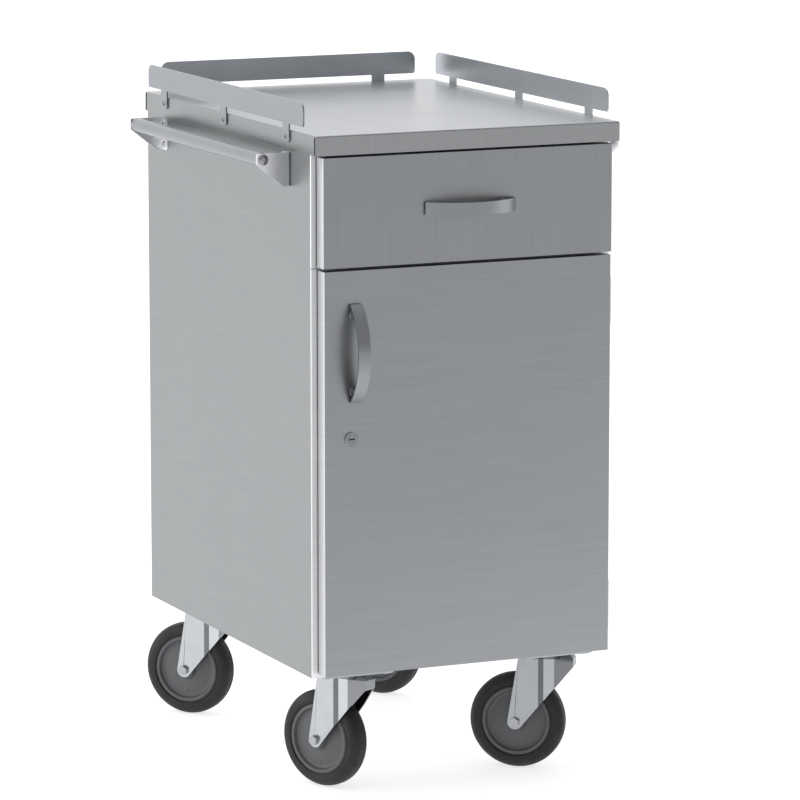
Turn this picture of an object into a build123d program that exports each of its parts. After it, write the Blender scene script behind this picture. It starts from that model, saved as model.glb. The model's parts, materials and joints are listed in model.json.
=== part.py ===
"""Stainless steel bedside cabinet on four swivel casters.

A drawer on telescopic slides sits over a hinged, lockable door. The top is a shallow folded tray
with guard rails on three sides, and a push bar runs along each side.

Millimetres. x runs to the right, z up from the floor. While a piece is being made, y is measured
from the front plane of the door towards the back; save() then moves it so that the origin is under
the middle of the whole cabinet.
"""

import os
from math import cos, radians, sin, sqrt

from build123d import *

os.makedirs("parts", exist_ok=True)

# ---- carcass ----
carcass_width = 413.0
carcass_back = 575.0
top_height = 846.0
sheet = 1.0
base_sheet = 1.5
fold_radius = 1.5
stile_width = 20.0
back_return = 15.0
fold_height = 20.0
weld_gap = 0.2

# ---- fronts ----
door_reveal = 8.5
drawer_front_reveal = 7.5
drawer_front_height = 137.5
front_thickness = 20.0
front_gap = 2.0
door_rise = 5.0
front_spacing = 4.0
top_gap = 3.0
liner_gap = 0.1
liner_flange = 10.0

# ---- top tray and guard rails ----
top_sheet = 1.5
top_flange = 25.0
top_overhang_gap = 0.8
top_bend = 2.0
corner_seam = 3.5
rail_sheet = 2.0
rail_gap = 8.0
rail_height = 30.0
rail_corner = 11.0
rail_lower_corner = 3.5
side_rail_length = 525.0
side_rail_middle = 297.5
side_leg_pitch = 207.0
side_leg_width = 20.0
back_rail_length = 372.0
back_leg_pitch = 262.0
back_leg_width = 19.0
leg_drop = 16.0
rivet_drop = 9.0
rivet_radius = 2.0
rivet_head_radius = 3.6
rivet_head_height = 1.6

# ---- push bars ----
bar_radius = 9.0
bar_wall = 1.5
bar_offset = 36.0
bar_drop = 37.0
bracket_sheet = 2.0
bracket_bend = 1.9
bracket_reach = 45.0
bracket_rise = 8.0
bracket_height = 42.0
bracket_tip_height = 14.0
bracket_foot = 10.0
bracket_flange = 24.0
bracket_front = 87.0
bracket_back = 524.0
bracket_screw_inset = 13.0
bracket_screw_margin = 6.5
screw_radius = 2.0
screw_head_radius = 4.0
screw_head_height = 2.2
screw_length = 9.0
bar_bolt_radius = 4.0
bar_plug_length = 20.0

# ---- drawer and slides ----
drawer_depth = 500.0
drawer_box_rise = 11.5
drawer_box_height = 106.0
drawer_lip = 6.0
slide_length = 500.0
slide_setback = 1.0
slide_height = 45.0
slide_thickness = 12.7
slide_sheet = 1.2
slide_play = 0.3
slide_rivet_pitch = 200.0

# ---- shelf ----
shelf_rise = 262.0
shelf_front = 48.0
shelf_back_gap = 12.0
shelf_side_gap = 1.0
shelf_flange = 16.0
support_width = 14.0
support_length = 24.0
support_height = 8.0

# ---- hinges ----
hinge_height = 60.0
hinge_inset = 60.0
knuckle_radius = 3.6
hinge_pin_radius = 2.0
hinge_clearance = 0.05
knuckle_gap = 0.3
hinge_offset = 4.3
hinge_depth = 17.0
leaf_sheet = 1.3
frame_leaf_reach = 13.0
door_leaf_reach = 14.5
hinge_screw_pitch = 36.0

# ---- pulls and lock ----
pull_length = 124.0
pull_width = 16.5
pull_sheet = 2.5
pull_corner = 1.2
pull_reach = 30.0
pull_end_reach = 4.0
post_pitch = 96.0
post_radius = 5.0
drawer_pull_rise = 68.5
door_pull_drop = 103.5
door_pull_inset = 42.0
lock_drop = 211.5
lock_inset = 36.0
bezel_radius = 9.0
bezel_height = 2.0
barrel_radius = 7.5
plug_radius = 5.5
plug_clearance = 0.05
key_slot = (8.0, 2.2, 5.0)
lock_nut_height = 3.0
cam_gap = 0.5
cam_sheet = 2.0
cam_width = 14.0
cam_length = 38.0
cam_square = 7.0

# ---- bumpers ----
bumper_radius = 4.0
bumper_inset = 15.0
bumper_play = 0.3

# ---- casters ----
wheel_radius = 62.5
tyre_width = 30.0
tyre_shoulder = 12.0
tyre_depth = 17.5
rim_lip = 1.4
trail = 35.0
fork_width = 42.0
fork_sheet = 2.5
fork_tip_radius = 10.0
caster_rise = 96.5
crown_chamfer = 6.0
crown_rear = 30.0
# Half of the fork seen from above: distance ahead of the swivel axis, distance from its centre line
fork_nose = [(-4.0, 21.0), (2.0, 18.6), (16.0, 17.0), (39.5, 9.6)]
nose_bottom = 74.5
axle_radius = 4.0
axle_clearance = 0.05
hub_gap = 0.3
hub_radius = 12.0
axle_head_flats = 11.0
axle_head_height = 5.0
axle_washer_radius = 7.0
axle_washer_sheet = 1.2
kingpin_radius = 6.0
kingpin_head_radius = 11.0
kingpin_head_height = 5.0
kingpin_clearance = 0.05
race_radius = 26.0
race_height = 2.5
race_gap = 0.3
plate_length = 100.0
plate_width = 85.0
plate_sheet = 3.0
plate_bolt_x = 80.0
plate_bolt_y = 60.0
plate_bolt_radius = 4.0
plate_bolt_flats = 13.0
plate_bolt_head = 2.0
plate_nut_height = 6.5
bolt_end = 5.0
side_swivel_inset = 66.5
front_swivel_inset = 45.0
rear_swivel_inset = 58.0
# Direction from the swivel axis to the axle at rest, in degrees from straight back towards the left
caster_angles = {
    "front_left": 27.0,
    "front_right": 52.0,
    "rear_left": 42.0,
    "rear_right": 35.0,
}

# ---- worked out from the values above ----
axle_level = wheel_radius
rim_radius = wheel_radius - tyre_depth
base_height = axle_level + caster_rise
crown_top = base_height - plate_sheet - race_height
half_width = carcass_width / 2
inner_half = half_width - sheet
stile_inner = half_width - stile_width
carcass_front = front_thickness + front_gap
stile_back = carcass_front + sheet
top_under = top_height - top_sheet
top_half = half_width + top_overhang_gap + top_sheet
top_back = carcass_back + top_overhang_gap + top_sheet
door_width = carcass_width - 2 * door_reveal
door_edge = door_width / 2
drawer_front_width = carcass_width - 2 * drawer_front_reveal
drawer_front_top = top_height - top_flange - top_gap
drawer_front_bottom = drawer_front_top - drawer_front_height
door_bottom = base_height + door_rise
door_top = drawer_front_bottom - front_spacing
middle_level = (door_top + drawer_front_bottom) / 2
bar_height = top_height - bar_drop
bracket_top = bar_height + bracket_rise
bracket_bottom = bracket_top - bracket_height
drawer_box_bottom = drawer_front_bottom + drawer_box_rise
slide_level = drawer_box_bottom + drawer_box_height / 2
slide_start = stile_back + slide_setback
shelf_level = base_height + shelf_rise
drawer_pull_height = drawer_front_bottom + drawer_pull_rise
door_pull_height = door_top - door_pull_drop
lock_height = door_top - lock_drop
swivel_half_spacing = half_width - side_swivel_inset
front_swivel = carcass_front + front_swivel_inset
rear_swivel = carcass_back - rear_swivel_inset
hinge_x = door_edge + hinge_offset
hinge_levels = [door_bottom + hinge_inset, door_top - hinge_inset]
lock_x = lock_inset - door_edge
door_pull_x = door_pull_inset - door_edge


def wheel_reach(angle):
    """How far back a rear wheel reaches from the swivel axis when it trails at this angle."""
    turn = radians(angle)
    tread = (wheel_radius - tyre_shoulder) * cos(turn)
    side = (tyre_width / 2 - tyre_shoulder) * sin(turn)
    return trail * cos(turn) + tread + side + tyre_shoulder


rear_reach = rear_swivel + max(wheel_reach(caster_angles["rear_" + side]) for side in ("left", "right"))
middle_y = (rear_reach - pull_reach) / 2


# ---- helpers ----
def save(name, *solids):
    """Write one sub-part, moved so that the origin is under the middle of the cabinet."""
    placed = [solid.moved(Location((0, -middle_y, 0))) for piece in solids for solid in piece.solids()]
    export_step(placed[0] if len(placed) == 1 else Compound(children=placed), f"parts/{name}.step")


def block(x, y, z):
    """A box given by its lowest and highest x, y and z."""
    size = [high - low for low, high in (x, y, z)]
    centre = [(high + low) / 2 for low, high in (x, y, z)]
    return Pos(*centre) * Box(*size)


def rod(start, end, radius):
    """A round bar between two points."""
    run = Vector(*end) - Vector(*start)
    plane = Plane(origin=start, z_dir=run)
    return plane.location * Cylinder(radius, run.length, align=(Align.CENTER, Align.CENTER, Align.MIN))


def hexagon(start, end, flats):
    """A six-sided bar between two points, given its size across flats."""
    run = Vector(*end) - Vector(*start)
    plane = Plane(origin=start, z_dir=run)
    return plane.location * extrude(RegularPolygon(flats / 2, 6, major_radius=False), run.length)


def mirrored(solid):
    """The same piece on the other side of the cabinet."""
    return solid.mirror(Plane.YZ)


def moved(point, direction, distance):
    return tuple(place + step * distance for place, step in zip(point, direction))


def dome(point, outward, radius, height):
    """A low domed head whose flat side lies at the point."""
    ball = (radius**2 + height**2) / (2 * height)
    middle = (radius / 2, height - ball + sqrt(ball**2 - radius**2 / 4))
    arc = ThreePointArc((radius, 0), middle, (0, height))
    section = make_face(arc + Polyline((0, height), (0, 0), (radius, 0)))
    cap = revolve(Plane.XZ * section, Axis.Z)
    return Plane(origin=point, z_dir=outward).location * cap


def rivet(point, outward, grip):
    """A blind rivet: a dome outside and a stem through the sheets."""
    stem = rod(moved(point, outward, -grip), moved(point, outward, rivet_head_height / 2), rivet_radius)
    return dome(point, outward, rivet_head_radius, rivet_head_height) + stem


def socket_screw(point, outward, length=screw_length, radius=screw_radius, head=screw_head_radius):
    """A button-head screw with a hexagon socket."""
    stem = rod(moved(point, outward, -length), moved(point, outward, screw_head_height / 2), radius)
    cap = dome(point, outward, head, screw_head_height)
    socket = hexagon(
        moved(point, outward, screw_head_height / 2), moved(point, outward, screw_head_height * 2), head * 0.7
    )
    return cap + stem - socket


def lined_tray(x, z, back):
    """The liner that closes a hollow front from behind, with flanges that reach forward inside it."""
    inset = sheet + liner_gap
    x = (x[0] + inset, x[1] - inset)
    z = (z[0] + inset, z[1] - inset)
    outer = block(x, (back - liner_flange, back), z)
    inner_x = (x[0] + sheet, x[1] - sheet)
    inner_z = (z[0] + sheet, z[1] - sheet)
    return outer - block(inner_x, (back - liner_flange, back - sheet), inner_z)


def hollow_front(x, z):
    """A folded front: a flat face with four sides, open at the back."""
    outer = block(x, (0, front_thickness), z)
    outer = fillet(outer.edges().filter_by(Axis.Z).sort_by(Axis.Y)[:2], fold_radius)
    inner_x = (x[0] + sheet, x[1] - sheet)
    inner_z = (z[0] + sheet, z[1] - sheet)
    return outer - block(inner_x, (sheet, front_thickness), inner_z)


# ---- carcass ----
def bracket_flange_y(end):
    """Where a bracket's flange lies along the side, from front to back."""
    if end == "front":
        return (bracket_front, bracket_front + bracket_flange)
    return (bracket_back - bracket_flange, bracket_back)


def bracket_screw_points():
    """Where the screws of the left push bar's brackets meet the flanges, as y and z."""
    rows = (bracket_top - bracket_screw_margin, bracket_bottom + bracket_screw_margin + 1)
    columns = (bracket_front + bracket_screw_inset, bracket_back - bracket_screw_inset)
    return [(y, z) for y in columns for z in rows]


def side_panel():
    """Left side: one sheet, folded inwards at the front into a stile and at the back into a return."""
    height = (base_height, top_under)
    wall = block((-half_width, -inner_half), (carcass_front, carcass_back), height)
    stile = block((-half_width, -stile_inner), (carcass_front, stile_back), height)
    back = block((-half_width, back_return - half_width), (carcass_back - sheet, carcass_back), height)
    panel = wall + stile + back
    fold = panel.edges().filter_by(Axis.Z).filter_by_position(Axis.X, -half_width - 0.1, -half_width + 0.1)
    panel = fillet(fold.sort_by(Axis.Y)[0], fold_radius)
    panel -= block(
        (-half_width, -stile_inner),
        (carcass_front, stile_back),
        (middle_level - sheet / 2 - weld_gap, middle_level + sheet / 2 + weld_gap),
    )
    for y, z in bracket_screw_points():
        panel -= rod((-half_width - 1, y, z), (-inner_half + 1, y, z), screw_radius)
    for z in back_rivet_levels():
        panel -= rod(
            (-back_rivet_x(), carcass_back + 1, z), (-back_rivet_x(), carcass_back - sheet * 2, z), rivet_radius
        )
    return panel


def back_rivet_levels():
    low = base_height + fold_height * 1.5
    high = top_under - fold_height * 2
    return [low + (high - low) * step / 4 for step in range(5)]


def back_rivet_x():
    return half_width - back_return / 2


def make_carcass():
    left = side_panel()
    hinge_side = mirrored(side_panel())
    for x, z in frame_screw_points():
        hinge_side -= rod((x, carcass_front - 1, z), (x, stile_back + 1, z), screw_radius)
    save("side_panel_left", left)
    save("side_panel_right", hinge_side)

    back_y = carcass_back - sheet * 2
    panel = block(
        (-inner_half + weld_gap, inner_half - weld_gap), (back_y, back_y + sheet), (base_height + base_sheet, top_under)
    )
    for z in back_rivet_levels():
        for side in (-1, 1):
            x = side * back_rivet_x()
            panel -= rod((x, back_y - 1, z), (x, carcass_back, z), rivet_radius)
    save("back_panel", panel)

    save("bottom_panel", bottom_panel())
    save("middle_panel", middle_panel())
    save("top_cross_rails", *top_cross_rails())


def bottom_panel():
    """Base tray: a flat sheet with all four edges folded up."""
    x = (-inner_half + weld_gap, inner_half - weld_gap)
    y = (stile_back, carcass_back - sheet)
    z = (base_height, base_height + fold_height)
    floor_y = (y[0], y[1])
    tray = block(x, floor_y, z)
    tray -= block(
        (x[0] + base_sheet, x[1] - base_sheet), (y[0] + base_sheet, back_wall_front()), (z[0] + base_sheet, z[1])
    )
    tray -= block((x[0], x[1]), (carcass_back - sheet * 2, carcass_back), (z[0] + base_sheet, z[1]))
    for x_bolt, y_bolt in plate_bolt_points():
        tray -= rod((x_bolt, y_bolt, z[0] - 1), (x_bolt, y_bolt, z[0] + base_sheet + 1), plate_bolt_radius)
    return tray


def back_wall_front():
    """The front face of the base tray's rear fold, which stands against the back panel."""
    return carcass_back - sheet * 2 - base_sheet


def middle_panel():
    """The divider between drawer and door: its front ears lie in slots through both stiles."""
    x = (-inner_half + weld_gap, inner_half - weld_gap)
    y = (stile_back, carcass_back - sheet * 2)
    z = (middle_level - sheet / 2, middle_level + sheet / 2)
    folded = block(x, y, (z[1] - fold_height, z[1]))
    folded -= block((x[0] + sheet, x[1] - sheet), (y[0] + sheet, y[1] - sheet), (z[1] - fold_height, z[0]))
    ears = block((-half_width, half_width), (carcass_front, stile_back), z)
    lip = block((-stile_inner + weld_gap, stile_inner - weld_gap), (carcass_front, stile_back), (z[1] - fold_height, z[1]))
    return folded + ears + lip


def top_cross_rails():
    """Two channels between the sides that carry the top, one at the front and one at the back."""
    x = (-inner_half + weld_gap, inner_half - weld_gap)
    bottom = top_height - top_flange
    rails = []
    for y in ((stile_back, stile_back + fold_height), (carcass_back - sheet * 2 - fold_height, carcass_back - sheet * 2)):
        channel = block(x, y, (bottom, top_under))
        channel -= block(x, (y[0] + sheet, y[1] - sheet), (bottom, top_under - sheet))
        rails.append(channel)
    return rails


# ---- top tray and guard rails ----
def side_leg_places():
    return [side_rail_middle + side_leg_pitch * step for step in (-1, 0, 1)]


def back_leg_places():
    return [-back_leg_pitch / 2, back_leg_pitch / 2]


def top_tray():
    """The top: a flat sheet with a flange folded down at each edge and an open seam at each corner."""
    flange_bottom = top_height - top_flange
    shell = block((-top_half, top_half), (0, top_back), (flange_bottom, top_height))
    shell = fillet(shell.faces().sort_by(Axis.Z)[-1].edges(), top_bend)
    shell -= block(
        (-top_half + top_sheet, top_half - top_sheet), (top_sheet, top_back - top_sheet), (flange_bottom, top_under)
    )
    seam_top = top_height - top_bend
    for side in (-1, 1):
        seam_x = sorted((side * top_half, side * (top_half - top_sheet)))
        for seam_y in ((top_sheet, top_sheet + corner_seam), (top_back - top_sheet - corner_seam, top_back - top_sheet)):
            shell -= block(seam_x, seam_y, (flange_bottom, seam_top))
        for y in side_leg_places():
            rivet_z = top_height - rivet_drop
            shell -= rod((side * (top_half + 1), y, rivet_z), (side * (top_half - 3), y, rivet_z), rivet_radius)
    for x in back_leg_places():
        rivet_z = top_height - rivet_drop
        shell -= rod((x, top_back + 1, rivet_z), (x, top_back - 3, rivet_z), rivet_radius)
    return shell


def guard_rail(length, legs, leg_width):
    """A flat strip with rounded corners and a row of legs, drawn upright and extruded by its sheet."""
    low = top_height + rail_gap
    high = low + rail_height
    strip = Pos(0, (low + high) / 2) * Rectangle(length, rail_height)
    corners = strip.vertices().sort_by(Axis.Y)
    strip = fillet(corners[2:], rail_corner)
    strip = fillet(strip.vertices().sort_by(Axis.Y)[:2], rail_lower_corner)
    leg_bottom = top_height - leg_drop
    for place in legs:
        leg = Pos(place, (leg_bottom + low + 1) / 2) * Rectangle(leg_width, low + 1 - leg_bottom)
        leg = fillet(leg.vertices().sort_by(Axis.Y)[:2], leg_width / 4)
        hole = Pos(place, top_height - rivet_drop) * Circle(rivet_radius)
        strip = strip + leg - hole
    return extrude(Plane.XZ * strip, -rail_sheet)


def make_top():
    save("top_tray", top_tray())
    legs = [place - side_rail_middle for place in side_leg_places()]
    side = guard_rail(side_rail_length, legs, side_leg_width)
    left = Pos(-top_half, side_rail_middle, 0) * Rot(0, 0, 90) * side
    save("guard_rail_left", left)
    save("guard_rail_right", mirrored(left))
    save("guard_rail_back", Pos(0, top_back, 0) * guard_rail(back_rail_length, back_leg_places(), back_leg_width))


def make_rivets():
    rivets = slide_rivets() + [mirrored(stem) for stem in slide_rivets()]
    z = top_height - rivet_drop
    grip = rail_sheet + top_sheet
    for side in (-1, 1):
        for y in side_leg_places():
            rivets.append(rivet((side * (top_half + rail_sheet), y, z), (side, 0, 0), grip))
        for level in back_rivet_levels():
            rivets.append(rivet((side * back_rivet_x(), carcass_back, level), (0, 1, 0), sheet * 2))
    for x in back_leg_places():
        rivets.append(rivet((x, top_back + rail_sheet, z), (0, 1, 0), grip))
    save("body_rivets", *rivets)


# ---- push bars ----
def bracket(end):
    """Left bracket: a tapering plate that stands out from the side, and a flange folded along it."""
    plate_y = (bracket_front, bracket_front + bracket_sheet)
    if end == "back":
        plate_y = (bracket_back - bracket_sheet, bracket_back)
    outline = Polyline(
        (-half_width, bracket_top),
        (-half_width - bracket_reach, bracket_top),
        (-half_width - bracket_reach, bracket_top - bracket_tip_height),
        (-half_width - bracket_foot, bracket_bottom),
        (-half_width, bracket_bottom),
        close=True,
    )
    plate = Pos(0, plate_y[0], 0) * extrude(Plane.XZ * make_face(outline), -bracket_sheet)
    plate = fillet(plate.edges().filter_by(Axis.Y).sort_by(Axis.X)[:2], 2.5)
    flange = block((-half_width - bracket_sheet, -half_width), bracket_flange_y(end), (bracket_bottom, bracket_top))
    free_edge = flange.edges().filter_by(Axis.X).sort_by(Axis.Y)
    free_edge = free_edge[-2:] if end == "front" else free_edge[:2]
    flange = fillet(free_edge, bracket_flange / 4)
    solid = plate + flange
    bend_y = bracket_front if end == "front" else bracket_back
    bend = [edge for edge in solid.edges().filter_by(Axis.Z) if abs(edge.center().Y - bend_y) < 0.1]
    bend = [edge for edge in bend if abs(edge.center().X + half_width) < 0.1]
    solid = fillet(bend, bracket_bend)
    bolt_x = -half_width - bar_offset
    solid -= rod((bolt_x, plate_y[0] - 1, bar_height), (bolt_x, plate_y[1] + 1, bar_height), bar_bolt_radius)
    for y, z in bracket_screw_points():
        solid -= rod((-half_width - bracket_sheet - 1, y, z), (-half_width + 1, y, z), screw_radius)
    return solid


def push_bar():
    """Left bar: a tube with a solid plug in each end, tapped for the bracket's bolt."""
    x = -half_width - bar_offset
    ends = (bracket_front + bracket_sheet, bracket_back - bracket_sheet)
    tube = rod((x, ends[0], bar_height), (x, ends[1], bar_height), bar_radius)
    hollow = (ends[0] + bar_plug_length, ends[1] - bar_plug_length)
    tube -= rod((x, hollow[0], bar_height), (x, hollow[1], bar_height), bar_radius - bar_wall)
    for start, end in ((ends[0], hollow[0]), (hollow[1], ends[1])):
        tube -= rod((x, start - 1, bar_height), (x, end + 1, bar_height), bar_bolt_radius)
    return tube


def make_push_bars():
    bolt_length = bracket_sheet + bar_plug_length / 2
    x = -half_width - bar_offset
    bolts = [
        socket_screw((x, bracket_front, bar_height), (0, -1, 0), bolt_length, bar_bolt_radius, 7.0),
        socket_screw((x, bracket_back, bar_height), (0, 1, 0), bolt_length, bar_bolt_radius, 7.0),
    ]
    screws = [
        socket_screw((-half_width - bracket_sheet, y, z), (-1, 0, 0)) for y, z in bracket_screw_points()
    ]
    brackets = [bracket("front"), bracket("back")]
    save("push_bar_left", push_bar())
    save("push_bar_right", mirrored(push_bar()))
    save("push_bar_brackets_left", *brackets)
    save("push_bar_brackets_right", *[mirrored(piece) for piece in brackets])
    save("push_bar_screws", *bolts, *screws, *[mirrored(piece) for piece in bolts + screws])


# ---- drawer ----
def slide_member(outer_x, depth, height, lap):
    """Left side: a channel whose web stands at outer_x and whose flanges reach towards the drawer."""
    z = (slide_level - height / 2, slide_level + height / 2)
    y = (slide_start, slide_start + slide_length)
    x = (outer_x, outer_x + depth)
    channel = block(x, y, z)
    inner_z = (z[0] + slide_sheet, z[1] - slide_sheet)
    inner_x = (x[0] + slide_sheet, x[1]) if lap == "inwards" else (x[0], x[1] - slide_sheet)
    return channel - block(inner_x, y, inner_z)


def slide_rivet_places():
    middle = slide_start + slide_length / 2
    return [middle + slide_rivet_pitch * step for step in (-1, 0, 1)]


def slide_rivets():
    """Flush rivets that hold the left slide's outer channel on its spacer."""
    ends = (-stile_inner - base_sheet, -stile_inner + slide_sheet)
    return [rod((ends[0], y, slide_level), (ends[1], y, slide_level), rivet_radius) for y in slide_rivet_places()]


def make_slides():
    outer_x = -stile_inner
    nested = slide_sheet + slide_play
    middle_x = outer_x + nested
    inner_x = middle_x + nested
    drawer_side = outer_x + slide_thickness
    middle_height = slide_height - 2 * nested
    inner_height = middle_height - 2 * nested
    outer = slide_member(outer_x, slide_thickness - slide_play * 4, slide_height, "inwards")
    middle = slide_member(middle_x, slide_thickness - slide_play * 3 - nested, middle_height, "inwards")
    inner = slide_member(inner_x, drawer_side - inner_x, inner_height, "outwards")

    spacer_z = (slide_level - slide_height / 2, slide_level + slide_height / 2)
    spacer_y = (slide_start, slide_start + slide_length)
    spacer = block((-inner_half, outer_x), spacer_y, spacer_z)
    spacer -= block((-inner_half, outer_x - base_sheet), spacer_y, (spacer_z[0] + base_sheet, spacer_z[1] - base_sheet))
    for stem in slide_rivets():
        outer -= stem
        spacer -= stem
    for name, solids in (
        ("slide_spacers", [spacer]),
        ("slide_outer_members", [outer]),
        ("slide_middle_members", [middle]),
        ("slide_inner_members", [inner]),
    ):
        save(name, *solids, *[mirrored(solid) for solid in solids])


def drawer_box_half():
    return stile_inner - slide_thickness


def box_screw_points():
    return [(x, z) for x in (-110.0, 110.0) for z in (drawer_box_bottom + 25, drawer_box_bottom + drawer_box_height - 25)]


def pull_screw_offsets():
    return [-post_pitch / 2, post_pitch / 2]


def drawer_box():
    """Folded box, open at the top, with a lip turned inwards along each wall."""
    half = drawer_box_half()
    y = (front_thickness, front_thickness + drawer_depth)
    z = (drawer_box_bottom, drawer_box_bottom + drawer_box_height)
    box = block((-half, half), y, z)
    box -= block((-half + sheet, half - sheet), (y[0] + sheet, y[1] - sheet), (z[0] + sheet, z[1] - sheet))
    lip = drawer_lip + sheet
    box -= block((-half + lip, half - lip), (y[0] + lip, y[1] - lip), (z[0] + sheet, z[1]))
    for x, level in box_screw_points():
        box -= rod((x, y[0] - 1, level), (x, y[0] + sheet + 1, level), screw_radius)
    return box


def make_drawer():
    x = (-drawer_front_width / 2, drawer_front_width / 2)
    z = (drawer_front_bottom, drawer_front_top)
    front = hollow_front(x, z)
    liner = lined_tray(x, z, front_thickness)
    fasteners = []
    for screw_x in pull_screw_offsets():
        front -= rod((screw_x, -1, drawer_pull_height), (screw_x, sheet + 1, drawer_pull_height), screw_radius)
        fasteners.append(socket_screw((screw_x, sheet, drawer_pull_height), (0, 1, 0)))
    for screw_x, level in box_screw_points():
        liner -= rod((screw_x, 0, level), (screw_x, front_thickness + 1, level), screw_radius)
        fasteners.append(socket_screw((screw_x, front_thickness + sheet, level), (0, 1, 0)))
    save("drawer_front", front)
    save("drawer_front_liner", liner)
    save("drawer_box", drawer_box())
    save("drawer_pull", Pos(0, 0, drawer_pull_height) * bow_pull())
    save("drawer_fasteners", *fasteners)


def bow_pull():
    """A flat strip bent to one arc on two posts, lying along x, with its back towards +y."""
    half = pull_length / 2
    rise = pull_reach - pull_end_reach
    radius = (half**2 + rise**2) / (2 * rise)
    centre = radius - pull_reach
    ring = Circle(radius) - Circle(radius - pull_sheet)
    cut = Pos(0, -radius) * Rectangle(pull_length, 2 * (radius - sqrt(radius**2 - half**2)) + pull_sheet * 2)
    arc = extrude(Pos(0, centre) * (ring & cut), pull_width / 2, both=True)
    ends = arc.edges().filter_by(GeomType.LINE).filter_by(Axis.Y)
    corners = [edge for edge in ends if abs(abs(edge.center().X) - half) < 0.5]
    arc = fillet(corners, pull_corner)
    place = post_pitch / 2
    behind = extrude(Pos(0, centre) * Circle(radius - pull_sheet / 2), pull_width / 2, both=True)
    for side in (-1, 1):
        post = rod((side * place, 0, 0), (side * place, -pull_reach, 0), post_radius) & behind
        arc = arc + post - rod((side * place, 0, 0), (side * place, screw_length * -0.9, 0), screw_radius)
    return arc


# ---- door, hinges and lock ----
def door_screw_points():
    """Hinge screws on the door's right side, as y and z."""
    y = (hinge_depth - door_leaf_reach) + 4.5
    return [(y, level + hinge_screw_pitch * side / 2) for level in hinge_levels for side in (-1, 1)]


def frame_screw_points():
    """Hinge screws in the right stile, as x and z."""
    x = hinge_x - frame_leaf_reach + 4.5
    return [(x, level + hinge_screw_pitch * side / 2) for level in hinge_levels for side in (-1, 1)]


def knuckle(level, low, high, bore):
    barrel = rod((hinge_x, hinge_depth, level + low), (hinge_x, hinge_depth, level + high), knuckle_radius)
    return barrel - rod((hinge_x, hinge_depth, level + low), (hinge_x, hinge_depth, level + high), bore)


def make_hinges():
    half = hinge_height / 2
    split = hinge_height / 5
    frame_leaves = []
    door_leaves = []
    pins = []
    for level in hinge_levels:
        leaf = block(
            (hinge_x - frame_leaf_reach, hinge_x), (carcass_front - leaf_sheet, carcass_front), (level - half, level + half)
        )
        web = block(
            (hinge_x - leaf_sheet, hinge_x), (hinge_depth + hinge_pin_radius + 0.5, carcass_front), (level - half, level + half)
        )
        room = rod(
            (hinge_x, hinge_depth, level - split - knuckle_gap),
            (hinge_x, hinge_depth, level + split + knuckle_gap),
            knuckle_radius + knuckle_gap,
        )
        leaf = leaf + (web - room)
        leaf += knuckle(level, -half, -split - knuckle_gap, hinge_pin_radius)
        leaf += knuckle(level, split + knuckle_gap, half, hinge_pin_radius)
        for x, z in frame_screw_points():
            leaf -= rod((x, carcass_front - leaf_sheet - 1, z), (x, carcass_front + 1, z), screw_radius)
        frame_leaves.append(leaf)

        low_y = hinge_depth - door_leaf_reach
        wing = block((door_edge, door_edge + leaf_sheet), (low_y, hinge_depth), (level - half, level + half))
        for low, high in ((-half, -split), (split, half)):
            wing -= rod(
                (hinge_x, hinge_depth, level + low), (hinge_x, hinge_depth, level + high), knuckle_radius + knuckle_gap
            )
        wing += knuckle(level, -split, split, hinge_pin_radius + hinge_clearance)
        for y, z in door_screw_points():
            wing -= rod((door_edge - 1, y, z), (door_edge + leaf_sheet + 1, y, z), screw_radius)
        door_leaves.append(wing)

        pin = rod((hinge_x, hinge_depth, level - half), (hinge_x, hinge_depth, level + half), hinge_pin_radius)
        for end, way in ((-half, -1), (half, 1)):
            pin += dome((hinge_x, hinge_depth, level + end), (0, 0, way), knuckle_radius * 0.9, 1.2)
        pins.append(pin)
    save("hinge_frame_leaves", *frame_leaves)
    save("hinge_door_leaves", *door_leaves)
    save("hinge_pins", *pins)
    screws = []
    for x, z in frame_screw_points():
        screws.append(rod((x, carcass_front - leaf_sheet, z), (x, carcass_front + 6, z), screw_radius))
    save("hinge_frame_screws", *screws)


def make_door():
    x = (-door_edge, door_edge)
    z = (door_bottom, door_top)
    skin = hollow_front(x, z)
    liner = lined_tray(x, z, front_thickness)
    fasteners = []
    for offset in pull_screw_offsets():
        place = (door_pull_x, sheet, door_pull_height + offset)
        skin -= rod((place[0], -1, place[2]), (place[0], sheet + 1, place[2]), screw_radius)
        fasteners.append(socket_screw(place, (0, 1, 0)))
    for y, level in door_screw_points():
        screw = rod((door_edge + leaf_sheet, y, level), (door_edge - 7, y, level), screw_radius)
        skin -= screw
        liner -= screw
        fasteners.append(screw)
    barrel = rod((lock_x, -1, lock_height), (lock_x, front_thickness + 1, lock_height), barrel_radius)
    save("door_skin", skin - barrel)
    save("door_liner", liner - barrel)
    save("door_pull", Pos(door_pull_x, 0, door_pull_height) * Rot(0, 90, 0) * bow_pull())
    save("door_fasteners", *fasteners)


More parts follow.
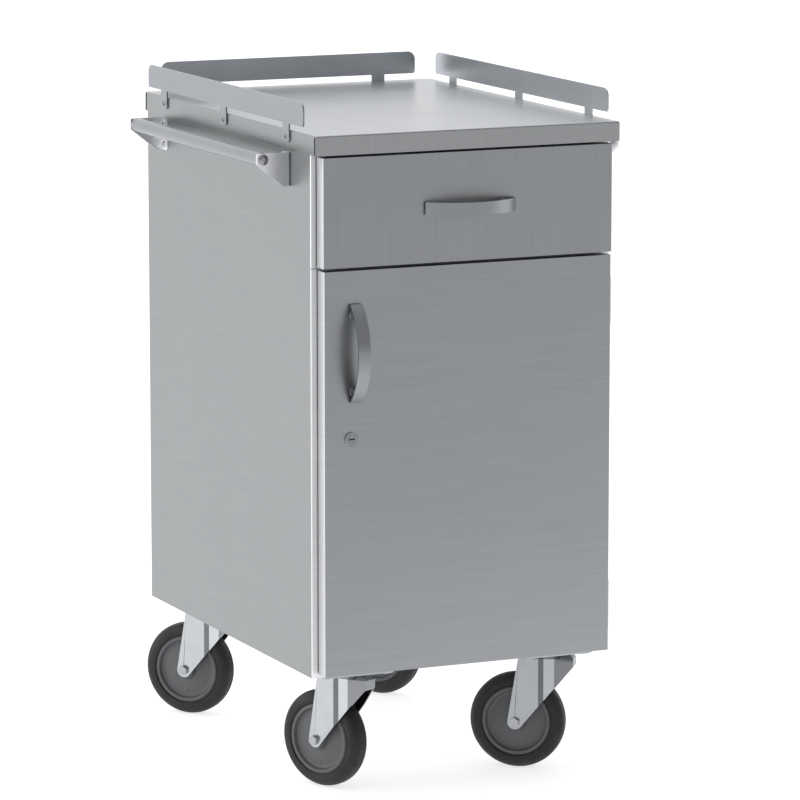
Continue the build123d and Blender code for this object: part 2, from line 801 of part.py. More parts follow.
def make_lock():
    cam_front = stile_back + cam_gap
    barrel_end = cam_front - 0.1
    front = (lock_x, -bezel_height, lock_height)
    bezel = rod(front, (lock_x, 0, lock_height), bezel_radius)
    bezel = chamfer(bezel.edges().filter_by(GeomType.CIRCLE).sort_by(Axis.Y)[0], bezel_height / 3)
    housing = bezel + rod((lock_x, 0, lock_height), (lock_x, barrel_end, lock_height), barrel_radius)
    housing -= rod(front, (lock_x, barrel_end, lock_height), plug_radius + plug_clearance)
    nut_y = (front_thickness, front_thickness + lock_nut_height)
    nut = hexagon((lock_x, nut_y[0], lock_height), (lock_x, nut_y[1], lock_height), barrel_radius * 2 + 6)
    nut -= rod((lock_x, nut_y[0], lock_height), (lock_x, nut_y[1], lock_height), barrel_radius)

    plug = rod((lock_x, -bezel_height, lock_height), (lock_x, barrel_end, lock_height), plug_radius)
    plug -= Pos(lock_x, -bezel_height + key_slot[2] / 2, lock_height) * Box(key_slot[0], key_slot[2], key_slot[1])
    half_square = cam_square / 2
    cam_y = (cam_front, cam_front + cam_sheet)
    square_x = (lock_x - half_square, lock_x + half_square)
    square_z = (lock_height - half_square, lock_height + half_square)
    plug += block(square_x, (barrel_end, cam_y[1]), square_z)
    plug -= rod((lock_x, barrel_end - 6, lock_height), (lock_x, cam_y[1], lock_height), screw_radius)

    half_cam = cam_width / 2
    outline = make_hull(
        (
            (Pos(lock_x, lock_height) * Circle(half_cam)).edges()
            + (Pos(lock_x, lock_height - cam_length + 4) * Rectangle(cam_width - 2, 8)).edges()
        )
    )
    cam = Pos(0, cam_y[0], 0) * extrude(Plane.XZ * outline, -cam_sheet)
    cam -= block(square_x, cam_y, square_z)
    save("lock_housing", housing)
    save("lock_nut", nut)
    save("lock_plug", plug)
    save("lock_cam", cam)
    save("lock_cam_screw", socket_screw((lock_x, cam_y[1], lock_height), (0, 1, 0), cam_sheet + 5, screw_radius, 5.5))


# ---- shelf and bumpers ----
def make_shelf():
    x = (-inner_half + shelf_side_gap, inner_half - shelf_side_gap)
    y = (shelf_front, carcass_back - sheet * 2 - shelf_back_gap)
    z = (shelf_level - shelf_flange, shelf_level)
    shelf = block(x, y, z) - block(
        (x[0] + sheet, x[1] - sheet), (y[0] + sheet, y[1] - sheet), (z[0], z[1] - sheet)
    )
    supports = []
    for y_place in (y[0] + support_length, y[1] - support_length * 2):
        support = block(
            (-inner_half, -inner_half + support_width), (y_place, y_place + support_length), (z[0] - support_height, z[0])
        )
        support = chamfer(support.edges().filter_by(Axis.Y).sort_by(Axis.Z)[:2].sort_by(Axis.X)[-1:], support_height / 2)
        supports += [support, mirrored(support)]
    save("shelf", shelf)
    save("shelf_supports", *supports)


def make_bumpers():
    height = front_gap - bumper_play
    levels = [door_bottom + 30, door_top - 20, drawer_front_bottom + 20, drawer_front_top - 20]
    places = [(-half_width + bumper_inset, level) for level in levels]
    places += [(half_width - bumper_inset, level) for level in levels[2:]]
    pads = [rod((x, carcass_front, z), (x, carcass_front - height, z), bumper_radius) for x, z in places]
    save("front_bumpers", *pads)


# ---- casters ----
def swivel_points():
    """Each caster's name and the x and y of its swivel axis."""
    return {
        "front_left": (-swivel_half_spacing, front_swivel),
        "front_right": (swivel_half_spacing, front_swivel),
        "rear_left": (-swivel_half_spacing, rear_swivel),
        "rear_right": (swivel_half_spacing, rear_swivel),
    }


def plate_bolt_points():
    """All the bolts that hold the caster plates to the base tray."""
    places = []
    for x, y in swivel_points().values():
        for side in (-1, 1):
            places += [(x + side * plate_bolt_x / 2, y + end * plate_bolt_y / 2) for end in (-1, 1)]
    return places


def caster_plate():
    """Flat plate with the fixed half of the swivel bearing below it."""
    under = base_height - plate_sheet
    plate = Pos(0, 0, base_height - plate_sheet / 2) * Box(plate_length, plate_width, plate_sheet)
    plate = fillet(plate.edges().filter_by(Axis.Z), 8)
    plate += rod((0, 0, crown_top + race_gap), (0, 0, under), race_radius)
    plate -= rod((0, 0, crown_top), (0, 0, base_height), kingpin_radius)
    for x in (-plate_bolt_x / 2, plate_bolt_x / 2):
        for y in (-plate_bolt_y / 2, plate_bolt_y / 2):
            plate -= rod((x, y, under - 1), (x, y, base_height + 1), plate_bolt_radius)
    return plate


def kingpin():
    under = crown_top - fork_sheet - race_gap
    pin = rod((0, 0, under - kingpin_head_height), (0, 0, base_height), kingpin_radius)
    head = rod((0, 0, under - kingpin_head_height), (0, 0, under), kingpin_head_radius)
    return pin + fillet(head.edges().filter_by(GeomType.CIRCLE).sort_by(Axis.Z)[0], 2)


def plate_bolt():
    under = base_height - plate_sheet
    floor = base_height + base_sheet
    nut_top = floor + plate_nut_height
    head = hexagon((0, 0, under - plate_bolt_head), (0, 0, under), plate_bolt_flats)
    bolt = head + rod((0, 0, under - 1), (0, 0, nut_top + bolt_end), plate_bolt_radius)
    nut = hexagon((0, 0, floor), (0, 0, nut_top), plate_bolt_flats)
    nut -= rod((0, 0, floor), (0, 0, nut_top), plate_bolt_radius)
    return [bolt, nut]


def fork():
    """One sheet bent round the swivel head: two legs behind, a tapering nose in front, a flat crown."""
    bottom = axle_level - fork_tip_radius - 1
    rear = -trail - fork_tip_radius - 10
    half = [(rear, fork_width / 2)] + fork_nose
    outline = half + [(ahead, -aside) for ahead, aside in reversed(half)]
    plan = make_face(Polyline(*outline, close=True))
    outer = Pos(0, 0, bottom) * extrude(plan, crown_top - bottom)
    outer = bevel_crown(outer, crown_chamfer)
    inner_plan = offset(plan, -fork_sheet, kind=Kind.INTERSECTION)
    inner = Pos(0, 0, bottom) * extrude(inner_plan, crown_top - fork_sheet - bottom)
    inner = bevel_crown(inner, crown_chamfer - fork_sheet * 0.4)
    front = fork_nose[-1][0]
    side = make_hull(
        (Pos(-trail, axle_level) * Circle(fork_tip_radius)).edges()
        + Polyline((-crown_rear, crown_top), (front, crown_top), (front, axle_level + nose_bottom), close=True).edges()
    )
    side_solid = extrude(Plane.XZ * side, fork_width, both=True)
    shell = (outer - inner) & side_solid
    shell -= rod((0, 0, crown_top + 1), (0, 0, crown_top - 20), kingpin_radius + kingpin_clearance)
    return shell - rod((-trail, -fork_width, axle_level), (-trail, fork_width, axle_level), axle_radius)


def bevel_crown(solid, size):
    """Bevel the top edges all round, apart from the rear one."""
    edges = solid.faces().sort_by(Axis.Z)[-1].edges().sort_by(Axis.X)[1:]
    return chamfer(edges, size)


def axle():
    """The wheel's bolt and its nut, outside the two legs."""
    face = fork_width / 2
    end = face + axle_head_height
    level = axle_level
    bolt = rod((-trail, -face, level), (-trail, end + 2, level), axle_radius)
    head = hexagon((-trail, -end, level), (-trail, -face, level), axle_head_flats)
    washer = rod((-trail, -face - axle_washer_sheet, level), (-trail, -face, level), axle_washer_radius)
    nut = hexagon((-trail, face, level), (-trail, end, level), axle_head_flats)
    nut -= rod((-trail, face, level), (-trail, end, level), axle_radius)
    return [bolt + head + washer, nut]


def wheel_section(points):
    """Half of a section as radius and distance from the middle, mirrored and turned about the axle."""
    outline = points + [(radius, -side) for radius, side in reversed(points)]
    ring = revolve(Plane.XZ * make_face(Polyline(*outline, close=True)), Axis.Z)
    return Pos(-trail, 0, axle_level) * Rot(90, 0, 0) * ring


def rim():
    """Moulded wheel centre: a hub, a dished web and a raised ring beside the tyre."""
    hub_side = fork_width / 2 - fork_sheet - hub_gap
    seat = tyre_width / 2 - rim_lip
    bore = axle_radius + axle_clearance
    return wheel_section(
        [
            (bore, hub_side),
            (hub_radius, hub_side),
            (hub_radius + 2, 12.5),
            (rim_radius - 10.0, 9.5),
            (rim_radius - 6.5, 10.2),
            (rim_radius - 4.5, seat + 0.9),
            (rim_radius - 1.5, seat + 0.9),
            (rim_radius, seat),
        ]
    )


def tyre():
    """Solid rubber ring with rounded shoulders."""
    half = tyre_width / 2
    band = Pos((rim_radius + wheel_radius) / 2, 0) * Rectangle(wheel_radius - rim_radius, tyre_width)
    band = fillet(band.vertices().sort_by(Axis.X)[-2:], tyre_shoulder)
    band = chamfer(band.vertices().sort_by(Axis.X)[:2], rim_lip)
    ring = revolve(Plane.XZ * band, Axis.Z)
    return Pos(-trail, 0, axle_level) * Rot(90, 0, 0) * ring


def make_casters():
    pieces = {"caster_fork": [fork()], "caster_axle": axle(), "wheel_rim": [rim()], "wheel_tyre": [tyre()]}
    for name, (x, y) in swivel_points().items():
        place = Pos(x, y, 0) * Rot(0, 0, caster_angles[name] - 90)
        for kind, solids in pieces.items():
            save(f"{kind}_{name}", *[place * solid for solid in solids])
    spots = [Pos(x, y, 0) for x, y in swivel_points().values()]
    save("caster_plates", *[spot * caster_plate() for spot in spots])
    save("caster_kingpins", *[spot * kingpin() for spot in spots])
    bolts = [Pos(x, y, 0) * solid for x, y in plate_bolt_points() for solid in plate_bolt()]
    save("caster_bolts", *bolts)


make_carcass()
make_top()
make_rivets()
make_push_bars()
make_slides()
make_drawer()
make_hinges()
make_door()
make_lock()
make_shelf()
make_bumpers()
make_casters()
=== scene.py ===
# %% [markdown]
# # A stainless steel bedside cabinet
# A hospital bedside cabinet is folded from thin stainless sheet: a drawer over a lockable door, a shallow
# tray on top with guard rails, a push bar along each side and four swivel casters below. The CAD model
# already holds every part at its real size. This lesson gives each part its finish, adds the small turned
# and pressed details that a mechanical model leaves out, and sets up the studio.

# %% Load the fixed frame
import json
from math import cos, pi, radians, sin

import bmesh
import bpy
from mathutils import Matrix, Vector


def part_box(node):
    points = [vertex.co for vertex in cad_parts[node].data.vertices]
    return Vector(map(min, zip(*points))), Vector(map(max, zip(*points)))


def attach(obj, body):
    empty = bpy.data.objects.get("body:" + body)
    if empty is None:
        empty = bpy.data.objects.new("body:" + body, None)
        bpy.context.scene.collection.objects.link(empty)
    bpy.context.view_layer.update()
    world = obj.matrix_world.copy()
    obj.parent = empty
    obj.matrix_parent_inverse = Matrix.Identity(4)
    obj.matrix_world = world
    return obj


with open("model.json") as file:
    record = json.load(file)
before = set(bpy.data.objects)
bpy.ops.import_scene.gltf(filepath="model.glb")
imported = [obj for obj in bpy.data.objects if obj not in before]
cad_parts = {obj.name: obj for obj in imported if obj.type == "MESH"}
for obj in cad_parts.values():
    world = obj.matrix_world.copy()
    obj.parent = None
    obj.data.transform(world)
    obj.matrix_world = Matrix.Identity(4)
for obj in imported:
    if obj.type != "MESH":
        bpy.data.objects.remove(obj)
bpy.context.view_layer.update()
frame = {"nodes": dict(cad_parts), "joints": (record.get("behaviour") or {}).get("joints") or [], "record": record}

MM = 0.001
scene = bpy.context.scene
nodes = frame["nodes"]
joints = {joint["name"]: joint for joint in frame["joints"]}

# %% [markdown]
# ## Two small helpers
# Hex colours are written as a screen shows them, so they have to be turned into the linear values that a
# renderer adds up. Shader nodes are placed with one short function, which sets their values and links
# their inputs in one call. Both could be written out each time, but then every material would be twice
# as long.


# %% Colours and shader nodes
def to_linear(shade):
    """A hex colour such as "#8c9096" as linear red, green, blue and alpha."""
    channels = [int(shade[start:start + 2], 16) / 255 for start in (1, 3, 5)]
    linear = [c / 12.92 if c <= 0.04045 else ((c + 0.055) / 1.055) ** 2.4 for c in channels]
    return (*linear, 1.0)


def add_node(tree, kind, values=None, links=None, **settings):
    """Add one shader node, set its properties and input values, and link its inputs."""
    node = tree.nodes.new("ShaderNode" + kind)
    for name, setting in settings.items():
        setattr(node, name, setting)
    for name, value in (values or {}).items():
        node.inputs[name].default_value = value
    for name, output in (links or {}).items():
        tree.links.new(output, node.inputs[name])
    return node


def new_material(name):
    """An empty material with its tree, its object coordinates and its surface shader."""
    material = bpy.data.materials.new(name)
    material.use_nodes = True
    tree = material.node_tree
    tree.nodes.clear()
    place = add_node(tree, "TexCoord").outputs["Object"]
    surface = add_node(tree, "BsdfPrincipled")
    add_node(tree, "OutputMaterial", links={"Surface": surface.outputs["BSDF"]})
    return material, tree, place, surface


# Noise seldom leaves this part of its range from 0 to 1, so a blend is stretched over it
NOISE_RANGE = (0.3, 0.7)


def blend_colours(tree, factor, *shades):
    """Two colours mixed by a pattern."""
    ramp = add_node(tree, "ValToRGB", links={"Fac": factor})
    for element, shade, position in zip(ramp.color_ramp.elements, shades, NOISE_RANGE):
        element.color = to_linear(shade)
        element.position = position
    return ramp.outputs["Color"]


def spread(tree, factor, low, high):
    """A pattern stretched between two numbers."""
    values = {"From Min": NOISE_RANGE[0], "From Max": NOISE_RANGE[1], "To Min": low, "To Max": high}
    return add_node(tree, "MapRange", values, {"Value": factor}).outputs["Result"]


def noise(tree, place, size_mm, detail=3.0, roughness=0.55):
    """Noise whose patches are size_mm long along x, y and z."""
    scale = [1 / (side * MM) for side in size_mm]
    mapping = add_node(tree, "Mapping", {"Scale": scale}, {"Vector": place})
    values = {"Scale": 1.0, "Detail": detail, "Roughness": roughness}
    return add_node(tree, "TexNoise", values, {"Vector": mapping.outputs["Vector"]}).outputs["Fac"]


def roughen(tree, surface, height, depth_mm, strength):
    """A fine relief on the surface."""
    values = {"Strength": strength, "Distance": depth_mm * MM}
    bump = add_node(tree, "Bump", values, {"Height": height})
    tree.links.new(bump.outputs["Normal"], surface.inputs["Normal"])


print("mid grey in linear light:", round(to_linear("#808080")[0], 3))

# %% [markdown]
# ## Camera
# The cabinet is seen from the front left and a little above. A long lens from six metres away keeps its
# edges almost parallel, as in a catalogue picture. A shifted lens could keep the uprights exactly
# parallel, but the shift would follow the camera into every other view, so the camera is tilted instead.

# %% Place the camera
CAMERA_TURN = 24.16
CAMERA_HEIGHT_ANGLE = 9.65
CAMERA_DISTANCE = 6.2
CAMERA_LENS = 220.2
CAMERA_AIM = Vector((-0.06, -0.2067, 0.4952))


def place_camera():
    turn, rise = radians(CAMERA_TURN), radians(CAMERA_HEIGHT_ANGLE)
    towards = Vector((sin(turn) * cos(rise), cos(turn) * cos(rise), -sin(rise)))
    data = bpy.data.cameras.new("camera")
    data.lens = CAMERA_LENS
    data.sensor_width = 36.0
    data.clip_end = 200.0
    camera = bpy.data.objects.new("camera", data)
    camera.location = CAMERA_AIM - towards * CAMERA_DISTANCE
    camera.rotation_euler = towards.to_track_quat("-Z", "Y").to_euler()
    scene.collection.objects.link(camera)
    scene.camera = camera
    print("camera at", [round(value, 2) for value in camera.location])


place_camera()

# %% [markdown]
# ## Floor and light
# Brushed steel shows what stands round it, blurred. The cabinet stands on a light table, a sheet that
# glows a little by itself, so its shadows stay pale. A bright rear sky lifts the top, and a sky and a table
# that darken towards the camera give the front its calm mid grey and let the bends of the forks show.
# Small lamps would leave hard streaks, so one large panel stands on the left, where the folds catch it.

# %% Floor
FLOOR_SIDE = 80.0
FLOOR_CLOUD = 900
TABLE_GLOW = 0.72
# The glow is full behind this distance from the camera's aim and fades over the next one, in metres
TABLE_END = -0.14
TABLE_FADE = 1.1
FRONT_FLOOR = 0.42


def make_floor():
    shape = bmesh.new()
    bmesh.ops.create_grid(shape, x_segments=4, y_segments=4, size=FLOOR_SIDE / 2)
    mesh = bpy.data.meshes.new("floor")
    shape.to_mesh(mesh)
    shape.free()
    floor = bpy.data.objects.new("floor", mesh)
    scene.collection.objects.link(floor)
    material, tree, place, surface = new_material("matt white light table")
    cloud = noise(tree, place, [FLOOR_CLOUD] * 3, 2.0)
    tree.links.new(blend_colours(tree, cloud, "#bcbcbd", "#c0c0c0"), surface.inputs["Base Color"])
    turn = radians(CAMERA_TURN)
    square_on = add_node(tree, "Mapping", {"Rotation": (0, 0, turn)}, {"Vector": place})
    depth = add_node(tree, "SeparateXYZ", links={"Vector": square_on.outputs["Vector"]}).outputs["Y"]
    start = TABLE_END + CAMERA_AIM.x * sin(turn) + CAMERA_AIM.y * cos(turn)
    values = {"From Min": start - TABLE_FADE, "From Max": start, "To Min": FRONT_FLOOR, "To Max": 1.0}
    lit = add_node(tree, "MapRange", values, {"Value": depth}, interpolation_type="SMOOTHSTEP")
    glow = add_node(tree, "Math", {1: TABLE_GLOW}, {0: lit.outputs["Result"]}, operation="MULTIPLY")
    tree.links.new(glow.outputs["Value"], surface.inputs["Emission Strength"])
    surface.inputs["Emission Color"].default_value = to_linear("#fdfdff")
    surface.inputs["Roughness"].default_value = 0.9
    surface.inputs["Specular IOR Level"].default_value = 0.1
    mesh.materials.append(material)


make_floor()
print("floor", FLOOR_SIDE, "m wide")

# %% Sky
FRONT_SKY = 0.44
BACK_SKY = 1.2
# How far to the front and to the back a direction points where the sky is darkest and brightest
SKY_BLEND = (-0.5, 0.55)


def make_sky():
    """Pale all round, darker towards the front."""
    world = bpy.data.worlds.new("studio sky")
    world.use_nodes = True
    tree = world.node_tree
    tree.nodes.clear()
    direction = add_node(tree, "TexCoord").outputs["Generated"]
    parts = add_node(tree, "SeparateXYZ", links={"Vector": direction})
    values = {"From Min": SKY_BLEND[0], "From Max": SKY_BLEND[1], "To Min": FRONT_SKY, "To Max": BACK_SKY}
    level = add_node(tree, "MapRange", values, {"Value": parts.outputs["Y"]}, interpolation_type="SMOOTHSTEP")
    colour = to_linear("#fcfdff")
    background = add_node(tree, "Background", {"Color": colour}, {"Strength": level.outputs["Result"]})
    add_node(tree, "OutputWorld", links={"Surface": background.outputs["Background"]})
    scene.world = world


make_sky()
print("sky from", FRONT_SKY, "in front to", BACK_SKY, "behind")

# %% Lamps
PANEL_PLACE = Vector((-4.2, 0.5, 1.55))
PANEL_AIM = Vector((-0.2, 0.1, 0.9))
PANEL_SIDE = 3.0
PANEL_WATTS = 52
SUN_STRENGTH = 0.6
SUN_WIDTH = 60
SUN_TILT = (-20, -10, 0)


def make_panel():
    data = bpy.data.lights.new("left panel", "AREA")
    data.shape = "RECTANGLE"
    data.size = data.size_y = PANEL_SIDE
    data.energy = PANEL_WATTS
    panel = bpy.data.objects.new("left panel", data)
    panel.location = PANEL_PLACE
    panel.rotation_euler = (PANEL_AIM - PANEL_PLACE).to_track_quat("-Z", "Y").to_euler()
    scene.collection.objects.link(panel)


def make_sun():
    data = bpy.data.lights.new("soft sun", "SUN")
    data.energy = SUN_STRENGTH
    data.angle = radians(SUN_WIDTH)
    sun = bpy.data.objects.new("soft sun", data)
    sun.rotation_euler = [radians(tilt) for tilt in SUN_TILT]
    scene.collection.objects.link(sun)


make_panel()
make_sun()
scene.view_settings.view_transform = "Standard"

# %% [markdown]
# ## Brushed stainless sheet
# Sheet for ward furniture is brushed along one direction with a fine abrasive belt. The scratches are
# about a tenth of a millimetre wide and centimetres long, with broader bands where the belt pressed
# harder. They are drawn a quarter of a millimetre wide, since finer ones wouldn't show. A picture texture
# could show this, but noise stretched along the grain does it at any size. Each sheet is cut with its own
# grain direction: level on the door and the sides, upright on the drawer front, front to back on the top.
# Cleaning leaves wide, faint clouds. The returns and the stile carry a painted highlight, the outer faces painted
# shade.


# %% Sheet steel
GRAIN_WIDTH = 0.25
BAND_WIDTH = 2.4
GRAIN_RUN = 110.0
CLOUD_SIZE = 170
PATCH_BLEND = 0.2 * MM
BOTH_SIDES = "ABSOLUTE"
FRONT_SIDE = "MULTIPLY"
# Painted highlight on the door's and drawer's side returns and folds
PAINTED_RETURN_HIGHLIGHT = ("#d0d1d2", "#d8d9d9")
# Painted highlight on the stile's front face, which lies in the door's shade
PAINTED_STILE_HIGHLIGHT = ("#eeeff0", "#f6f6f6")
# Painted shade on the side panels' outer faces and the tray's side flanges
PAINTED_SIDE_SHADE = ("#8f9192", "#979999")
# Near-black painted shade on the side panels above the tray's bottom, seen through the tray's corner seam
PAINTED_SEAM_SHADE = ("#1c1c1d", "#242425")


def grain_size(width_mm, across):
    """The patch size along x, y and z: narrow across the grain, long along it."""
    return [width_mm if axis in across else GRAIN_RUN for axis in "xyz"]


def beyond(tree, place, axis, limit, side):
    """1 where a place is further along the axis than limit, in metres, and 0 elsewhere.

    BOTH_SIDES measures away from the middle either way, and FRONT_SIDE against the axis.
    """
    parts = add_node(tree, "SeparateXYZ", links={"Vector": place})
    far = add_node(tree, "Math", {1: -1.0}, {0: parts.outputs[axis]}, operation=side)
    values = {"From Min": limit - PATCH_BLEND, "From Max": limit + PATCH_BLEND}
    return add_node(tree, "MapRange", values, {"Value": far.outputs["Value"]}).outputs["Result"]


def paint_over(tree, colour, mask, patch):
    """A second colour laid over the first where the mask is 1."""
    mix = add_node(tree, "Mix", data_type="RGBA")
    for socket, output in ((mix.inputs[0], mask), (mix.inputs[6], colour), (mix.inputs[7], patch)):
        tree.links.new(output, socket)
    return mix.outputs[2]


def sheet_steel(name, dark, light, across, rough=(0.30, 0.40), patches=(), metallic=1.0):
    """Brushed stainless sheet whose scratches are narrow along the axes in across.

    patches are strips with another tone, painted highlight and painted shade: two colours, an axis, a limit in
    metres and the side on which the limit holds.
    """
    material, tree, place, surface = new_material(name)
    scratches = noise(tree, place, grain_size(GRAIN_WIDTH, across), 2.0)
    bands = noise(tree, place, grain_size(BAND_WIDTH, across), 3.0)
    clouds = noise(tree, place, [CLOUD_SIZE] * 3, 2.0, 0.5)
    uneven = add_node(tree, "Mix", {"Factor": 0.35}, {"A": bands, "B": clouds}).outputs["Result"]
    colour = blend_colours(tree, uneven, dark, light)
    for tones, *edge in patches:
        colour = paint_over(tree, colour, beyond(tree, place, *edge), blend_colours(tree, uneven, *tones))
    tree.links.new(colour, surface.inputs["Base Color"])
    worn = add_node(tree, "Mix", {"Factor": 0.5}, {"A": scratches, "B": clouds}).outputs["Result"]
    tree.links.new(spread(tree, worn, *rough), surface.inputs["Roughness"])
    surface.inputs["Metallic"].default_value = metallic
    roughen(tree, surface, scratches, 0.02, 0.35)
    return material


print("grain", GRAIN_WIDTH, "mm wide,", GRAIN_RUN, "mm long")

# %% Sheets of the cabinet
# How much of a sheet's edge a painted patch takes, in metres: the round of a fold, a whole face or a stile
FOLD = 0.6 * MM
FACE = 0.5 * MM
STILE = 1.3 * MM
door_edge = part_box("door_skin")[1].x
drawer_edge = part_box("drawer_front")[1].x
stile_depth = -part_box("side_panel_left")[0].y
side_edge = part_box("side_panel_right")[1].x
tray_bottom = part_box("top_tray")[0].z
tray_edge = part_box("top_tray")[1].x
# Side patches: a painted highlight on the stile, painted shade on the outer faces and above the tray's bottom
SIDE_PATCHES = [
    (PAINTED_SIDE_SHADE, "X", side_edge - FACE, BOTH_SIDES),
    (PAINTED_STILE_HIGHLIGHT, "Y", stile_depth - STILE, FRONT_SIDE),
    (PAINTED_SEAM_SHADE, "Z", tray_bottom + FACE, BOTH_SIDES),
]

# The door's and drawer's side returns carry a painted highlight
door_steel = sheet_steel(
    "brushed stainless steel, level grain, door", "#9d9fa1", "#a5a7a8", "z",
    patches=[(PAINTED_RETURN_HIGHLIGHT, "X", door_edge - FOLD, BOTH_SIDES)],
)
drawer_steel = sheet_steel(
    "brushed stainless steel, upright grain, drawer", "#9a9c9e", "#a3a5a6", "xy",
    patches=[(PAINTED_RETURN_HIGHLIGHT, "X", drawer_edge - FOLD, BOTH_SIDES)],
)
side_steel = sheet_steel(
    "brushed stainless steel, level grain, sides", "#c6c8c9", "#cecfd0", "z", patches=SIDE_PATCHES
)
# The tray's side flanges carry the same painted shade as the side panels' outer faces
top_steel = sheet_steel(
    "brushed stainless steel, grain front to back, top", "#a2a4a5", "#aaabac", "x", (0.26, 0.36),
    patches=[(PAINTED_SIDE_SHADE, "X", tray_edge - FACE, BOTH_SIDES)],
)
# The inner sheets are less polished, so they also scatter light inside the dark cabinet
inner_steel = sheet_steel(
    "brushed stainless steel, inner sheets", "#c2c4c5", "#cccdce", "z", (0.40, 0.52), metallic=0.55
)
print("sheet steels:", [m.name for m in bpy.data.materials if "brushed" in m.name])

# %% [markdown]
# ## Strip, tube and plated steel
# Guard rails, pulls and push bars are polished a little finer than the panels. The slides and the caster
# plates are zinc plated: brighter, bluish, and finely spangled where the plating grew. Both could share
# the sheet's pattern, but a plated surface has no grain, so its patches are as wide as they are long. The
# forks' plating carries painted shade in each hollow and a painted highlight on each shoulder of a bend.


# %% Strip and plated steel
STRIP_CLOUD = 60
PLATING_GRAIN = 0.6
PLATING_CLOUD = 25


def satin_steel(name, dark, light, run, rough):
    """Finely polished strip or tube; run is the patch size along x, y and z in millimetres."""
    material, tree, place, surface = new_material(name)
    lines = noise(tree, place, run, 2.0)
    clouds = noise(tree, place, [STRIP_CLOUD] * 3, 2.0)
    uneven = add_node(tree, "Mix", {"Factor": 0.5}, {"A": lines, "B": clouds}).outputs["Result"]
    tree.links.new(blend_colours(tree, uneven, dark, light), surface.inputs["Base Color"])
    tree.links.new(spread(tree, uneven, *rough), surface.inputs["Roughness"])
    surface.inputs["Metallic"].default_value = 1.0
    roughen(tree, surface, lines, 0.01, 0.25)
    return material


def plated_steel(name, dark, light, spangle_mm, rough, bends=None):
    """Bright zinc plating with a fine spangle; bends adds painted shade and painted highlight strips at the bends.
    """
    material, tree, place, surface = new_material(name)
    values = {"Scale": 1 / (spangle_mm * MM), "Randomness": 1.0}
    cells = add_node(tree, "TexVoronoi", values, {"Vector": place})
    grain = noise(tree, place, [PLATING_GRAIN] * 3, 2.0)
    facets = add_node(tree, "Mix", {"Factor": 0.4}, {"A": grain, "B": cells.outputs["Distance"]})
    clouds = noise(tree, place, [PLATING_CLOUD] * 3, 3.0)
    tone = add_node(tree, "Mix", {"Factor": 0.6}, {"A": facets.outputs["Result"], "B": clouds})
    colour = blend_colours(tree, tone.outputs["Result"], dark, light)
    if bends:
        colour = paint_bend_shading(tree, place, colour, *bends)
    tree.links.new(colour, surface.inputs["Base Color"])
    tree.links.new(spread(tree, clouds, *rough), surface.inputs["Roughness"])
    surface.inputs["Metallic"].default_value = 1.0
    roughen(tree, surface, grain, 0.01, 0.2)
    return material


# Where the fork's outline bends, in millimetres ahead of the swivel axis, and the painted tone factor beyond it:
# below 1 painted shade, above 1 a painted highlight
FORK_BEND_SHADING = ((-4.2, 0.36), (2.2, 1.15), (16.0, 0.55))
BEND_BLEND = 0.3 * MM


def paint_bend_shading(tree, place, colour, pivot, ahead):
    """Painted shade and painted highlight change the plating's tone at each bend: darker in a hollow, brighter on
    a shoulder.
    """
    along = add_node(tree, "VectorMath", {1: ahead}, {0: place}, operation="DOT_PRODUCT").outputs["Value"]
    before = {}
    for bend, tone in FORK_BEND_SHADING:
        start = pivot.dot(ahead) + bend * MM - BEND_BLEND
        values = {"From Min": start, "From Max": start + 2 * BEND_BLEND, "To Min": 1.0, "To Max": tone}
        shade = add_node(tree, "MapRange", values, {"Value": along, **before}).outputs["Result"]
        before = {"To Min": shade}
    scaled = add_node(tree, "VectorMath", links={0: colour, "Scale": shade}, operation="SCALE")
    return scaled.outputs["Vector"]


# The fork tones at these bends are painted shade and painted highlight
print("a fork's plating changes tone at", [bend for bend, tone in FORK_BEND_SHADING], "mm")

# %% Strips, bars and fasteners
LEVEL_GRAIN = (40, 40, 0.4)
FRONT_TO_BACK_GRAIN = (0.4, 60, 0.4)
RAIL_ROUGHNESS = (0.26, 0.36)
BAR_ROUGHNESS = (0.26, 0.34)

rail_steel = satin_steel(
    "satin stainless steel, guard rails", "#b4b8bc", "#bec2c6", LEVEL_GRAIN, RAIL_ROUGHNESS
)
# The left rail is painted darker and the back rail lighter than the rails' own tone: painted shade and painted
# light
shaded_left_rail = satin_steel("satin stainless steel, left rail, painted shade", "#919498", "#9a9da1", LEVEL_GRAIN, RAIL_ROUGHNESS)
lit_back_rail = satin_steel("satin stainless steel, back rail, painted light", "#c6cbd0", "#d0d5da", LEVEL_GRAIN, RAIL_ROUGHNESS)
bar_steel = satin_steel(
    "satin stainless steel, push bars", "#8e9092", "#989a9b", FRONT_TO_BACK_GRAIN, BAR_ROUGHNESS
)
level_pull = satin_steel(
    "satin stainless steel, drawer pull", "#96989a", "#9fa1a3", (60, 60, 0.8), BAR_ROUGHNESS
)
upright_pull = satin_steel(
    "satin stainless steel, door pull", "#96989a", "#9fa1a3", (0.8, 60, 60), BAR_ROUGHNESS
)
# The brackets are painted far paler than the other satin steel: painted light
lit_bracket_steel = satin_steel(
    "satin stainless steel, brackets, painted light", "#f2f3f4", "#f9f9fa", (0.6, 40, 40), BAR_ROUGHNESS
)
rivet_steel = satin_steel("dull stainless steel, rivets", "#77797b", "#838587", [0.5] * 3, (0.3, 0.4))
# The mandrels' near-black colour is painted shade for the rivet's hole
mandrel_steel_painted_dark = satin_steel("steel painted dark as shade, rivet mandrels", "#3c3d3e", "#4c4d4e", [0.4] * 3, (0.35, 0.5))
screw_steel = satin_steel("plain stainless steel, fasteners", "#a0a1a2", "#b0b1b2", [0.5] * 3, (0.2, 0.3))
print("satin finishes:", len([m for m in bpy.data.materials if "satin" in m.name]))

